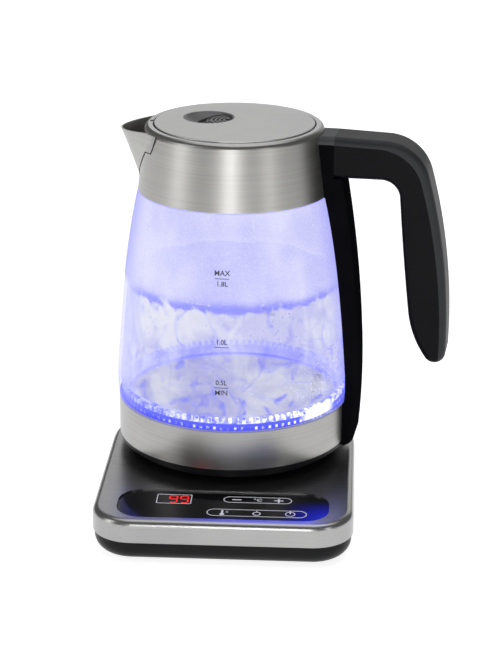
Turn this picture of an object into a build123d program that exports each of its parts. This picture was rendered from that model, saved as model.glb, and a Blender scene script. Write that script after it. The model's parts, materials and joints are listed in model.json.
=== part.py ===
from build123d import *
from math import cos, radians, sin
import os

os.makedirs("parts", exist_ok=True)

# Electric kettle: a glass jug with a steel collar, spout and hooked handle, a lift-out lid
# with a sliding catch, and a touch-control base that powers the jug through a round connector.
# Millimetres. The origin is on the jug's axis at worktop level, +Z is up, and the base's
# control panel faces -Y. The jug stands on the base with its handle turned a little
# towards the panel, as it is usually set down.

# ---------------------------------------------------------------- driving dimensions
jug_turn = -7            # heading of the handle in plan, degrees from +X
base_width = 164
base_front = -135.4      # y of the front edge; the back is a half round about the jug's axis
front_corner = 26
deck_height = 30.4       # top of the steel deck
skirt_bottom = 15.5      # where the steel cover meets the plastic tray
tray_bottom = 1.6
deck_gauge = 1.0
tray_wall = 2.2
tray_inset = 1.0
panel_width = 133
panel_depth = 41.5
panel_corner = 16
panel_y = -108

band_radius = 76.6       # outer radius of the lower steel band
band_bottom = 40.3
band_top = 66.0
steel_gauge = 1.0
glass_wall = 2.6
collar_bottom = 207.0
collar_top = 245.5       # where the collar starts to roll in to the rim
collar_foot_radius = 62.4
collar_head_radius = 57.8
rim_outer = 55.4
rim_inner = 52.5
rim_height = 249.3
neck_radius = 59.6
neck_top = 216.0
grip_screw_heights = (221.4, 230.6)
lid_radius = 51.7
lid_height = 250.0
dish_radius = 16.7
dish_x = -18.5           # finger dish, along the handle axis from the jug's axis
dish_y = 8.8             # and to its far side
catch_travel = 6.0
handle_half_width = 14.5
handle_root = 66.5       # where the arm leaves the strap
skin = 4.8               # thickness of the handle's spine cover
fit_gap = 0.4            # running gap between pieces that move apart

STAND = (Align.CENTER, Align.CENTER, Align.MIN)
HANG = (Align.CENTER, Align.CENTER, Align.MAX)


def heading(angle):
    """Unit vector in plan at an angle from +X."""
    return Vector(cos(radians(angle)), sin(radians(angle)), 0)


def level(height, angle=jug_turn):
    """Horizontal plane at a height, its x axis on a heading."""
    return Plane(origin=(0, 0, height), x_dir=heading(angle), z_dir=(0, 0, 1))


def upright(angle=jug_turn):
    """Vertical plane through the jug's axis, x outwards on a heading and y upwards."""
    return Plane(origin=(0, 0, 0), x_dir=heading(angle), z_dir=heading(angle - 90))


def radial_plane(reach, height):
    """Plane across the handle's heading, at a distance from the jug's axis."""
    return Plane(origin=heading(jug_turn) * reach + Vector(0, 0, height), z_dir=heading(jug_turn))


def collar_radius(height):
    """Outer radius of the collar's cone at a height."""
    rise = (height - collar_bottom) / (collar_top - collar_bottom)
    return collar_foot_radius + rise * (collar_head_radius - collar_foot_radius)


def save(piece, name):
    """Label one finished piece and write its STEP file."""
    piece.part.label = name
    export_step(piece.part, f"parts/{name}.step")


# Outer curve of the glass, from the band up to the collar: radius, height.
glass_foot = band_top + 1.2
glass_curve = [(77.2, glass_foot), (77.8, 75), (77.2, 92), (74.7, 123), (70.0, 165), (62.6, 206.4)]
glass_inner = [(61.2, 200), (67.4, 165), (72.1, 123), (74.6, 92), (75.2, 75), (74.6, glass_foot)]

# ================================================================ BASE
half_width = base_width / 2
post_spots = [(-68, -76), (68, -76), (-52, 48), (52, 48)]
foot_spots = [(-56, -112), (56, -112), (-58, 26), (58, 26), (0, 58)]
window_top = deck_height - deck_gauge
window_gauge = 1.6
frame_gauge = 2.0
frame_bottom = window_top - frame_gauge
outlet_height = 9.0
outlet_radius = 5.0
tray_floor = tray_bottom + tray_wall


def base_plan(inset, height):
    """Plan of the base: rounded front corners, straight sides and a half-round back."""
    with BuildSketch(Plane.XY.offset(height)) as plan:
        with BuildLine():
            FilletPolyline(
                (-half_width + inset, 0),
                (-half_width + inset, base_front + inset),
                (half_width - inset, base_front + inset),
                (half_width - inset, 0),
                radius=front_corner - inset,
            )
            ThreePointArc((half_width - inset, 0), (0, half_width - inset), (-half_width + inset, 0))
        make_face()
    return plan.sketch


with BuildPart() as base_tray:
    extrude(base_plan(tray_inset, tray_bottom), amount=skirt_bottom - tray_bottom)
    fillet(base_tray.faces().sort_by(Axis.Z)[0].edges(), radius=10.5)
    offset(amount=-tray_wall, openings=base_tray.faces().sort_by(Axis.Z)[-1], kind=Kind.INTERSECTION)
    with Locations(*[(x, y, tray_floor - 0.4) for x, y in post_spots]):
        Cylinder(4.5, 11.6, align=STAND)
    with Locations(*[(x, y, tray_bottom) for x, y in post_spots]):
        Cylinder(3.4, 3.4, align=STAND, mode=Mode.SUBTRACT)
        Cylinder(1.5, 20, align=STAND, mode=Mode.SUBTRACT)
    with Locations(*[(x, y, tray_bottom) for x, y in foot_spots]):
        Cylinder(7, 1.0, align=STAND, mode=Mode.SUBTRACT)
    with Locations((-48, -24, tray_floor - 0.3), (-48, 20, tray_floor - 0.3)):
        Box(40, 3, 4.5, align=STAND)
    with Locations((-8, 62, tray_floor - 0.3), (8, 62, tray_floor - 0.3)):
        Cylinder(3.2, 8.8, align=STAND)
        Cylinder(1.2, 10, align=STAND, mode=Mode.SUBTRACT)
    with BuildSketch(Plane.XZ.offset(-half_width - 3)):
        with Locations((0, outlet_height)):
            Circle(outlet_radius)
    extrude(amount=14, mode=Mode.SUBTRACT)
save(base_tray, "base_tray")

with BuildPart() as base_top_cover:
    extrude(base_plan(0, skirt_bottom), amount=deck_height - skirt_bottom)
    fillet(base_top_cover.faces().sort_by(Axis.Z)[-1].edges(), radius=4.2)
    offset(
        amount=-deck_gauge,
        openings=base_top_cover.faces().sort_by(Axis.Z)[0],
        kind=Kind.INTERSECTION,
    )
    with BuildSketch(Plane.XY.offset(deck_height - 3)):
        with Locations((0, panel_y)):
            RectangleRounded(panel_width, panel_depth, panel_corner)
        Circle(17.6)
    extrude(amount=5, mode=Mode.SUBTRACT)
save(base_top_cover, "base_top_cover")

with BuildPart() as cover_frame:
    extrude(base_plan(5.4, frame_bottom), amount=frame_gauge)
    with BuildSketch(Plane.XY.offset(frame_bottom)):
        with Locations((0, panel_y)):
            RectangleRounded(panel_width + 4.4, panel_depth + 4.4, panel_corner + 2)
        Circle(17.6)
    extrude(amount=frame_gauge, mode=Mode.SUBTRACT)
    with Locations(*[(x, y, tray_floor + 11.2) for x, y in post_spots]):
        Cylinder(4.5, frame_bottom - tray_floor - 11.2, align=STAND)
        Cylinder(1.5, 10.6, align=STAND, mode=Mode.SUBTRACT)
save(cover_frame, "cover_frame")

with BuildPart() as control_window:
    with BuildSketch(Plane.XY.offset(window_top - window_gauge)):
        with Locations((0, panel_y)):
            RectangleRounded(panel_width + 4, panel_depth + 4, panel_corner + 1.8)
    extrude(amount=window_gauge)
save(control_window, "control_window")

board_top = 19.6
window_bottom = window_top - window_gauge
board_width = 124
board_depth = 38
with BuildPart() as control_board:
    with Locations((0, panel_y, board_top)):
        Box(board_width, board_depth, 1.6, align=HANG)
    with Locations((-54, panel_y, board_top), (54, panel_y, board_top)):
        Cylinder(1.6, 1.6, align=HANG, mode=Mode.SUBTRACT)
save(control_board, "control_board")

with BuildPart() as display_module:
    with Locations((-31.5, panel_y + 9, board_top)):
        Box(25, 14, window_bottom - board_top, align=STAND)
    chamfer(display_module.faces().sort_by(Axis.Z)[-1].edges(), length=0.6)
save(display_module, "display_module")

key_spots = [(8.1, 10.4), (34.7, 10.4), (0, -9), (21.6, -9), (42.5, -9)]
with BuildPart() as touch_springs:
    with Locations(*[(x, panel_y + y, board_top) for x, y in key_spots]):
        Cylinder(3.6, window_bottom - board_top, align=STAND)
        Cylinder(2.8, window_bottom - board_top, align=STAND, mode=Mode.SUBTRACT)
save(touch_springs, "touch_springs")

with BuildPart() as buzzer:
    with Locations((-30, panel_y - 10, board_top)):
        Cylinder(6, 6.5, align=STAND)
    fillet(buzzer.faces().sort_by(Axis.Z)[-1].edges(), radius=0.8)
    with Locations((-30, panel_y - 10, board_top + 4.5)):
        Cylinder(1, 3, align=STAND, mode=Mode.SUBTRACT)
save(buzzer, "buzzer")

power_level = tray_floor + 4.2
with BuildPart() as power_board:
    with Locations((-48, -2, power_level)):
        Box(42, 60, 1.6, align=STAND)
save(power_board, "power_board")

with BuildPart() as power_components:
    with Locations((-58, 14, power_level + 1.6)):
        Box(16, 20, 14, align=STAND)
    with Locations((-37, 14, power_level + 1.6)):
        Box(15, 19, 12, align=STAND)
    fillet(power_components.edges().filter_by(Axis.Z), radius=1)
    with Locations((-60, -18, power_level + 1.6)):
        Cylinder(5, 12, align=STAND)
    with Locations((-40, -18, power_level + 1.6)):
        Box(13, 6, 11, align=STAND)
save(power_components, "power_components")

# The tower is the fixed half of the round power connector: an earthed centre hole inside a
# ring-shaped groove, so the jug can be set down at any heading.
tower_top = 38.0
with BuildPart() as connector_tower:
    with BuildSketch(upright(0)):
        with BuildLine():
            Polyline(
                (3.2, 16), (3.2, tower_top - 1), (4.2, tower_top), (8.6, tower_top), (9.4, tower_top - 1),
                (9.4, 24), (14.6, 24), (14.6, tower_top - 1), (15.4, tower_top), (16.4, tower_top),
                (17.4, tower_top - 1.4), (17.4, frame_bottom), (27, frame_bottom), (27, frame_bottom - 2.4),
                (17.4, frame_bottom - 2.4), (17.4, 14), (0, 14), (0, 16), close=True,
            )
        make_face()
    revolve(axis=Axis.Z)
save(connector_tower, "connector_tower")

with BuildPart() as tower_contact_ring:
    with BuildSketch(Plane.XY.offset(24)):
        Circle(14.6)
        Circle(13.2, mode=Mode.SUBTRACT)
    extrude(amount=7)
save(tower_contact_ring, "tower_contact_ring")

with BuildPart() as cord_bush:
    with BuildSketch(Plane.XZ.offset(-half_width - 2)):
        with Locations((0, outlet_height)):
            Circle(outlet_radius)
            Circle(3.5, mode=Mode.SUBTRACT)
    extrude(amount=16)
save(cord_bush, "cord_bush")

with BuildPart() as cord_clamp:
    with Locations((0, 62, tray_floor + 8.5)):
        Box(25, 8, 3, align=STAND)
    with Locations((-8, 62, tray_floor + 8.5), (8, 62, tray_floor + 8.5)):
        Cylinder(1.2, 3, align=STAND, mode=Mode.SUBTRACT)
    with Locations((0, 62, outlet_height)):
        Cylinder(3.5, 8, rotation=(90, 0, 0), mode=Mode.SUBTRACT)
save(cord_clamp, "cord_clamp")

with BuildPart() as clamp_screws:
    with Locations((-8, 62, tray_floor + 11.5), (8, 62, tray_floor + 11.5)):
        Cylinder(2.4, 1.6, align=STAND)
        Cylinder(1.2, 9, align=HANG)
save(clamp_screws, "clamp_screws")

with BuildPart() as base_screws:
    with Locations(*[(x, y, tray_bottom + 1.2) for x, y in post_spots]):
        Cylinder(3.4, 2.2, align=STAND)
    with Locations(*[(x, y, tray_bottom + 3.4) for x, y in post_spots]):
        Cylinder(1.5, 19, align=STAND)
    with Locations(*[(x, y, tray_bottom + 1.2) for x, y in post_spots]):
        Box(4.4, 0.9, 0.9, align=STAND, mode=Mode.SUBTRACT)
        Box(0.9, 4.4, 0.9, align=STAND, mode=Mode.SUBTRACT)
save(base_screws, "base_screws")

with BuildPart() as rubber_feet:
    with Locations(*[(x, y, 0) for x, y in foot_spots]):
        Cylinder(7, tray_bottom + 1.0, align=STAND)
    fillet(rubber_feet.faces().group_by(Axis.Z)[0].edges(), radius=0.8)
save(rubber_feet, "rubber_feet")

# ================================================================ ROUND CONNECTOR
with BuildPart() as kettle_connector:
    with BuildSketch(upright()):
        with BuildLine():
            Polyline(
                (0, 39), (18.4, 39), (18.4, 32.4), (19, 31.6), (21.4, 31.6), (22, 32.4),
                (22, 46), (20.6, 47.4), (0, 47.4), close=True,
            )
        make_face()
    revolve(axis=Axis.Z)
save(kettle_connector, "kettle_connector")

with BuildPart() as connector_centre_pin:
    with Locations((0, 0, 24)):
        Cylinder(2.4, 39 - 24, align=STAND)
    fillet(connector_centre_pin.faces().sort_by(Axis.Z)[0].edges(), radius=1.6)
save(connector_centre_pin, "connector_centre_pin")

with BuildPart() as connector_ring_blade:
    with BuildSketch(Plane.XY.offset(27)):
        Circle(11.8)
        Circle(10.8, mode=Mode.SUBTRACT)
    extrude(amount=39 - 27)
save(connector_ring_blade, "connector_ring_blade")

# ================================================================ JUG, LOWER END
band_inner = band_radius - steel_gauge
cover_bottom = deck_height + 0.8
board_seat = 54.0
plate_bottom = 62.6
plate_top = 64.2
plate_radius = 69.5
screw_ring = 65.6

with BuildPart() as bottom_cover:
    with BuildSketch(upright()):
        with BuildLine():
            Polyline(
                (23, cover_bottom), (68.6, cover_bottom), (71.4, 33.4), (71.4, 35.8), (76.0, 37.2),
                (76.0, band_bottom), (band_inner, band_bottom), (band_inner, board_seat),
                (73.2, board_seat), (73.2, 38.8), (69, 37.2), (69, 34.4), (23, 34.4), close=True,
            )
        make_face()
    revolve(axis=Axis.Z)
    with PolarLocations(screw_ring, 3, start_angle=30):
        with Locations((0, 0, 34)):
            Cylinder(4, 20.6, align=STAND)
        with Locations((0, 0, 30)):
            Cylinder(2.8, 5.6, align=STAND, mode=Mode.SUBTRACT)
            Cylinder(1.5, 26, align=STAND, mode=Mode.SUBTRACT)
save(bottom_cover, "bottom_cover")

with BuildPart() as chassis_ring:
    with BuildSketch(Plane.XY.offset(54.6)):
        Circle(69.2)
        Circle(62.2, mode=Mode.SUBTRACT)
    extrude(amount=plate_bottom - 54.6)
    with PolarLocations(screw_ring, 3, start_angle=30):
        with Locations((0, 0, 54.6)):
            Cylinder(1.5, 6, align=STAND, mode=Mode.SUBTRACT)
save(chassis_ring, "chassis_ring")

with BuildPart() as bottom_screws:
    with PolarLocations(screw_ring, 3, start_angle=30):
        with Locations((0, 0, 32.4)):
            Cylinder(2.8, 3.2, align=STAND)
        with Locations((0, 0, 35.6)):
            Cylinder(1.5, 24, align=STAND)
save(bottom_screws, "bottom_screws")

with BuildPart() as lower_band:
    with BuildSketch(upright()):
        with BuildLine():
            Polyline(
                (band_inner, band_bottom), (band_radius, band_bottom), (band_radius, band_top),
                (75.2, band_top), (75.2, band_top - steel_gauge), (band_inner, band_top - steel_gauge),
                close=True,
            )
        make_face()
    revolve(axis=Axis.Z)
save(lower_band, "lower_band")

led_ring_radius = 73.0
with BuildPart() as led_board:
    with BuildSketch(Plane.XY.offset(board_seat)):
        Circle(75.2)
        Circle(69.8, mode=Mode.SUBTRACT)
    extrude(amount=1.6)
save(led_board, "led_board")

with BuildPart() as ring_leds:
    with PolarLocations(led_ring_radius, 18):
        with Locations((0, 0, board_seat + 1.6)):
            Box(2.8, 3.5, 1.8, align=STAND)
save(ring_leds, "ring_leds")

# The light ring carries the light up from the board to a crown of square teeth that
# stands inside the foot of the glass.
tooth_count = 104
crown_outer = 74.2
crown_inner = 71.2
with BuildPart() as light_ring:
    with BuildSketch(upright()):
        with BuildLine():
            Polyline(
                (plate_radius, 61.4), (75.2, 61.4), (75.2, band_top), (crown_outer, band_top),
                (crown_outer, 74.4), (crown_inner, 74.4), (crown_inner, band_top), (plate_radius, band_top),
                close=True,
            )
        make_face()
    revolve(axis=Axis.Z)
    with PolarLocations((crown_outer + crown_inner) / 2, tooth_count):
        with Locations((0, 0, 71.2)):
            Box(6, 2.2, 5, align=STAND, mode=Mode.SUBTRACT)
save(light_ring, "light_ring")

probe_angle = -5
probe_reach = 57.0
with BuildPart() as heating_plate:
    with BuildSketch(level(plate_bottom)):
        Circle(plate_radius)
        with PolarLocations(probe_reach, 1, start_angle=probe_angle):
            Circle(3.2, mode=Mode.SUBTRACT)
    extrude(amount=plate_top - plate_bottom)
save(heating_plate, "heating_plate")

with BuildPart() as heat_spreader:
    with BuildSketch(Plane.XY.offset(59.8)):
        Circle(51)
    extrude(amount=plate_bottom - 59.8)
    chamfer(heat_spreader.faces().sort_by(Axis.Z)[0].edges(), length=1)
save(heat_spreader, "heat_spreader")

with BuildPart() as heating_element:
    with BuildSketch(upright()):
        with Locations((40, 56.6)):
            RectangleRounded(7, 6.4, 1.6)
    revolve(axis=Axis.Z)
    with PolarLocations(40, 2, start_angle=80, angular_range=20, endpoint=True):
        with Locations((0, 0, 55)):
            Cylinder(1.8, 8, align=HANG)
save(heating_element, "heating_element")

with BuildPart() as boil_dry_thermostat:
    with Locations((0, 0, 59.8)):
        Cylinder(10, 4.2, align=HANG)
    with Locations((0, 0, 55.6)):
        Box(12, 6, 2.4, align=HANG)
    fillet(boil_dry_thermostat.edges().filter_by(Axis.Z), radius=1)
save(boil_dry_thermostat, "boil_dry_thermostat")

with BuildPart() as temperature_probe:
    with PolarLocations(probe_reach, 1, start_angle=jug_turn + probe_angle):
        with Locations((0, 0, 57)):
            Cylinder(3.2, 26, align=STAND)
    fillet(temperature_probe.faces().sort_by(Axis.Z)[-1].edges(), radius=2.6)
save(temperature_probe, "temperature_probe")

with BuildPart() as probe_seal:
    with BuildSketch(level(plate_top)):
        with PolarLocations(probe_reach, 1, start_angle=probe_angle):
            Circle(5.8)
            Circle(3.2, mode=Mode.SUBTRACT)
    extrude(amount=2)
    fillet(probe_seal.edges().group_by(Axis.Z)[-1].sort_by(SortBy.LENGTH)[-1], radius=1)
save(probe_seal, "probe_seal")

# ================================================================ JUG, GLASS AND COLLAR
with BuildPart() as glass_lower_seal:
    with BuildSketch(Plane.XY.offset(band_top)):
        Circle(76.4)
        Circle(crown_outer, mode=Mode.SUBTRACT)
    extrude(amount=glass_foot - band_top)
save(glass_lower_seal, "glass_lower_seal")

with BuildPart() as glass_jug:
    with BuildSketch(upright()):
        with BuildLine():
            outer_wall = Spline(*glass_curve)
            Polyline(
                outer_wall @ 1, (neck_radius, 206.8), (neck_radius, neck_top),
                (neck_radius - glass_wall, neck_top), (neck_radius - glass_wall, 205), glass_inner[0],
            )
            inner_wall = Spline(*glass_inner)
            Line(inner_wall @ 1, outer_wall @ 0)
        make_face()
    revolve(axis=Axis.Z)
save(glass_jug, "glass_jug")

with BuildPart() as glass_upper_seal:
    with BuildSketch(upright()):
        with BuildLine():
            Polyline(
                (neck_radius, 207.6), (collar_radius(207.6) - steel_gauge, 207.6),
                (collar_radius(214) - steel_gauge, 214), (neck_radius, 214), close=True,
            )
        make_face()
    revolve(axis=Axis.Z)
save(glass_upper_seal, "glass_upper_seal")

# Solid of everything inside the collar's outer face, used to trim what is fixed to it.
with BuildPart() as collar_core:
    with BuildSketch(upright()):
        with BuildLine():
            Line((0, 200), (collar_radius(200), 200))
            Line((collar_radius(200), 200), (collar_head_radius, collar_top))
            ThreePointArc((collar_head_radius, collar_top), (57.0, 247.9), (rim_outer, rim_height))
            Polyline((rim_outer, rim_height), (0, rim_height), (0, 200))
        make_face()
    revolve(axis=Axis.Z)

strainer_mid = 228.0
pour_direction = heading(jug_turn + 180)
pour_plane = Plane(origin=(0, 0, strainer_mid), x_dir=heading(jug_turn + 90), z_dir=pour_direction)
with BuildPart() as upper_collar:
    with BuildSketch(upright()):
        with BuildLine():
            Line((collar_foot_radius - steel_gauge, collar_bottom), (collar_foot_radius, collar_bottom))
            Line((collar_foot_radius, collar_bottom), (collar_head_radius, collar_top))
            ThreePointArc((collar_head_radius, collar_top), (57.0, 247.9), (rim_outer, rim_height))
            Line((rim_outer, rim_height), (rim_outer, rim_height - 1.2))
            ThreePointArc(
                (rim_outer, rim_height - 1.2), (56.2, 247.2), (collar_head_radius - steel_gauge, collar_top)
            )
            Line((collar_head_radius - steel_gauge, collar_top), (collar_foot_radius - steel_gauge, collar_bottom))
        make_face()
    revolve(axis=Axis.Z)
    with BuildSketch(pour_plane):
        RectangleRounded(26, 12, 5)
    extrude(amount=70, mode=Mode.SUBTRACT)
    for height in grip_screw_heights:
        with BuildSketch(radial_plane(50, height)):
            Circle(1.8)
        extrude(amount=28, mode=Mode.SUBTRACT)
save(upper_collar, "upper_collar")

with BuildPart() as spout_strainer:
    with BuildSketch(upright()):
        with BuildLine():
            Polyline(
                (collar_radius(217.5) - 1, 217.5), (collar_radius(235.5) - 1, 235.5),
                (collar_radius(235.5) - 1.7, 235.5), (collar_radius(217.5) - 1.7, 217.5), close=True,
            )
        make_face()
    revolve(axis=Axis.Z)
    with BuildSketch(pour_plane):
        Rectangle(50, 40)
    extrude(amount=80, mode=Mode.INTERSECT)
    with BuildSketch(pour_plane):
        with GridLocations(4, 4, 7, 3):
            Circle(1.1)
    extrude(amount=80, mode=Mode.SUBTRACT)
save(spout_strainer, "spout_strainer")

lug_angles = (127, 185)  # the lid's two lugs, from the handle's heading
with BuildPart() as rim_ring:
    with BuildSketch(upright()):
        with BuildLine():
            Polyline(
                (rim_inner, 231), (54.2, 231), (54.2, 236), (collar_radius(236) - 1, 236),
                (collar_radius(238) - 1, 238), (rim_outer - 1, 238), (rim_outer - 1, 246.6),
                (rim_outer - 0.3, 248.1), (rim_outer, 248.1), (rim_outer, rim_height), (rim_inner, rim_height), close=True,
            )
        make_face()
    revolve(axis=Axis.Z)
    for lug_angle in lug_angles:
        with BuildSketch(level(245.2, jug_turn + lug_angle)):
            with Locations((52.6, 0)):
                Rectangle(3.6, 3.4)
        extrude(amount=6, mode=Mode.SUBTRACT)
save(rim_ring, "rim_ring")


# The spout is a pressed beak welded over the collar's front. Its level sections share one
# outline, wide where it meets the collar and round at the tip.
def beak_section(height, root, tip, half_span):
    """One level section of the beak."""
    reach = tip - root
    side = [(0.75, 0.42), (0.42, 0.64), (0, 1)]
    right = [(root + along * reach, -across * half_span) for along, across in reversed(side)]
    left = [(root + along * reach, across * half_span) for along, across in side]
    with BuildSketch(level(height, jug_turn + 180)) as section:
        with BuildLine():
            rim_line = Spline(*right, (tip, 0), *left)
            Line(rim_line @ 1, rim_line @ 0)
        make_face()
    return section.sketch.faces()[0]


beak_gauge = 1.1
beak_heights = [(210, 58.6, 61.8, 9), (229, 50, 68.2, 31), (248, 43, 76.0, 39.5)]
beak_outer = [beak_section(*row) for row in beak_heights]
# The flanks slant, so the hollow is narrower by twice the gauge to leave a full wall.
beak_hollow = [
    beak_section(height, root - 1, tip - beak_gauge, span - 2 * beak_gauge)
    for height, root, tip, span in beak_heights
]
lip_plane = Plane(origin=pour_direction * 44 + Vector(0, 0, 247.2), z_dir=pour_direction * 0.105 + Vector(0, 0, 1))
with BuildPart() as spout:
    loft(beak_outer)
    loft(beak_hollow, mode=Mode.SUBTRACT)
    add(collar_core.part, mode=Mode.SUBTRACT)
    split(bisect_by=lip_plane, keep=Keep.BOTTOM)
save(spout, "spout")

# ================================================================ HANDLE
side_plane = upright()
arm_bottom = 219.6

# Solid of everything that the strap lies against: collar, glass with a small gap, and band.
with BuildPart() as strap_seat:
    with BuildSketch(side_plane):
        with BuildLine():
            Polyline((collar_foot_radius, 206.9), (collar_foot_radius, 207.0), (0, 207.0), (0, 20))
            Line((0, 20), (band_radius, 20))
            Line((band_radius, 20), (band_radius, band_top))
            Polyline((band_radius, band_top), (band_radius, glass_foot), (glass_curve[0][0] + fit_gap, glass_foot))
            clear_line = Spline(*[(radius + fit_gap, height) for radius, height in glass_curve])
            Line(clear_line @ 1, (collar_foot_radius, 206.9))
        make_face()
    revolve(axis=Axis.Z)

with BuildSketch(side_plane) as handle_outline:
    with BuildLine():
        arm_line = Line((handle_root, 246.2), (99, 245.0))
        bend_line = TangentArc(arm_line @ 1, (127, 223), tangent=arm_line % 1)
        back_line = TangentArc(bend_line @ 1, (141.4, 106), tangent=bend_line % 1)
        tip_line = TangentArc(back_line @ 1, (128.2, 102), tangent=back_line % 1)
        palm_line = TangentArc(tip_line @ 1, (116.2, 133), tangent=tip_line % 1)
        finger_line = TangentArc(palm_line @ 1, (107.8, arm_bottom), tangent=palm_line % 1)
        Polyline(finger_line @ 1, (handle_root, arm_bottom), (handle_root, 246.2))
    make_face()
    finger_corner = vertices().sort_by_distance((107.8, arm_bottom, 0))[0]
    fillet(finger_corner, radius=12)

with BuildPart() as handle_form:
    extrude(handle_outline.sketch, amount=handle_half_width, both=True)
    rounded = handle_form.edges().filter_by(
        lambda edge: abs(abs(side_plane.to_local_coords(edge.center()).Z) - handle_half_width) < 0.01
        and side_plane.to_local_coords(edge.center()).X > handle_root + 1
    )
    fillet(rounded, radius=4)

with BuildPart() as under_spine:
    extrude(
        handle_outline.sketch.moved(Location(side_plane.x_dir * -4.4 + Vector(0, 0, -skin))),
        amount=handle_half_width + 1,
        both=True,
    )

with BuildPart() as handle_grip:
    add(handle_form.part)
    add(under_spine.part, mode=Mode.INTERSECT)
    for height in grip_screw_heights:
        with BuildSketch(radial_plane(50, height)):
            Circle(1.8)
        extrude(amount=28, mode=Mode.SUBTRACT)
save(handle_grip, "handle_grip")

with BuildPart() as handle_spine_cover:
    add(handle_form.part)
    add(under_spine.part, mode=Mode.SUBTRACT)
save(handle_spine_cover, "handle_spine_cover")

with BuildPart() as handle_strap:
    with BuildSketch(side_plane):
        with BuildLine():
            upper_face = ThreePointArc((71.8, arm_bottom), (79.4, 170), (84.6, 108))
            outer_face = TangentArc(upper_face @ 1, (83.4, 44), tangent=upper_face % 1)
            foot_end = TangentArc(outer_face @ 1, (74.9, 35.8), tangent=outer_face % 1)
            Polyline(
                foot_end @ 1, (50, 35.8), (50, 246.2 - skin), (handle_root, 246.2 - skin),
                (handle_root, arm_bottom), (71.8, arm_bottom),
            )
        make_face()
    extrude(amount=handle_half_width, both=True)
    rounded = handle_strap.edges().filter_by(
        lambda edge: abs(abs(side_plane.to_local_coords(edge.center()).Z) - handle_half_width) < 0.01
        and side_plane.to_local_coords(edge.center()).X > 60
        and edge.center().Z < arm_bottom - 5
    )
    fillet(rounded, radius=3)
    add(strap_seat.part, mode=Mode.SUBTRACT)
    add(collar_core.part, mode=Mode.SUBTRACT)
    for height in grip_screw_heights:
        with BuildSketch(radial_plane(50, height)):
            Circle(1.8)
        extrude(amount=28, mode=Mode.SUBTRACT)
save(handle_strap, "handle_strap")

with BuildPart() as handle_insert:
    with BuildSketch(side_plane):
        with BuildLine():
            Polyline(
                (50, 246.2 - skin), (handle_root, 246.2 - skin), (handle_root, 246.2), (50, 246.2), close=True,
            )
        make_face()
    extrude(amount=handle_half_width, both=True)
    fillet(
        handle_insert.edges().filter_by(
            lambda edge: abs(edge.center().Z - 246.2) < 0.01
            and abs(abs(side_plane.to_local_coords(edge.center()).Z) - handle_half_width) < 0.01
        ),
        radius=4,
    )
    add(collar_core.part, mode=Mode.SUBTRACT)
save(handle_insert, "handle_insert")

with BuildPart() as handle_screws:
    for height in grip_screw_heights:
        head_seat = collar_radius(height) - steel_gauge - 0.5
        with BuildSketch(radial_plane(head_seat, height)):
            Circle(1.8)
        extrude(amount=76 - head_seat)
        with BuildSketch(radial_plane(head_seat - 2, height)):
            Circle(3.4)
        extrude(amount=2)
save(handle_screws, "handle_screws")

# ================================================================ LID
plate_gauge = 1.0
body_bottom = 244.8
wall_bottom = 232.0
lid_wall_outer = 48.6
dish_bottom = 242.2
bolt_top = 241.4
bolt_bottom = 239.0
bolt_width = 8.0
boss_ring = 41.0
bowl_depth = 5.0
bowl_mouth = 15.8
bowl_radius = (bowl_mouth**2 + bowl_depth**2) / (2 * bowl_depth)

with BuildPart() as lid_plate:
    with BuildSketch(level(lid_height - plate_gauge)):
        Circle(lid_radius)
        with Locations((dish_x, dish_y)):
            Circle(dish_radius, mode=Mode.SUBTRACT)
    extrude(amount=plate_gauge)
    fillet(lid_plate.faces().sort_by(Axis.Z)[-1].outer_wire().edges(), radius=0.6)
save(lid_plate, "lid_plate")

with BuildPart() as lid_body:
    with BuildSketch(level(body_bottom)):
        Circle(lid_radius - 0.4)
    extrude(amount=lid_height - plate_gauge - body_bottom)
    with BuildSketch(level(wall_bottom)):
        Circle(lid_wall_outer)
        Circle(lid_wall_outer - 2.6, mode=Mode.SUBTRACT)
    extrude(amount=body_bottom - wall_bottom)
    with BuildSketch(level(wall_bottom)):
        with PolarLocations(boss_ring, 3, start_angle=60):
            Circle(3.4)
    extrude(amount=body_bottom - wall_bottom)
    for lug_angle in lug_angles:
        with BuildSketch(level(245.6, jug_turn + lug_angle)):
            with Locations((52.5, 0)):
                Rectangle(3.0, 2.6)
        extrude(amount=3)
    with BuildSketch(level(wall_bottom)):
        with PolarLocations(boss_ring, 3, start_angle=60):
            Circle(1.4)
    extrude(amount=9, mode=Mode.SUBTRACT)
    with BuildSketch(level(body_bottom)):
        with Locations((dish_x, dish_y)):
            Circle(dish_radius)
    extrude(amount=10, mode=Mode.SUBTRACT)
    with BuildSketch(level(bolt_bottom - fit_gap)):
        with Locations((45, dish_y)):
            Rectangle(16, bolt_width + 2 * fit_gap)
    extrude(amount=bolt_top - bolt_bottom + 2 * fit_gap, mode=Mode.SUBTRACT)
save(lid_body, "lid_body")

pad_edge_radius = 13.0
pad_left = dish_x - 1.4
pad_bottom = 245.2
pad_top = 248.8
pad_clear = bowl_mouth - 0.9
pocket_steps = 12        # the pocket follows the pad through its travel in half-millimetre steps


def pad_plan(grow, shift, height):
    """Plan of the ribbed pad: the dish's circle cut by a second circle."""
    with BuildSketch(level(height)) as plan:
        with Locations((dish_x + shift, dish_y)):
            Circle(pad_clear + grow)
        with Locations((pad_left + pad_edge_radius + shift, dish_y)):
            Circle(pad_edge_radius + grow, mode=Mode.INTERSECT)
    return plan.sketch


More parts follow.
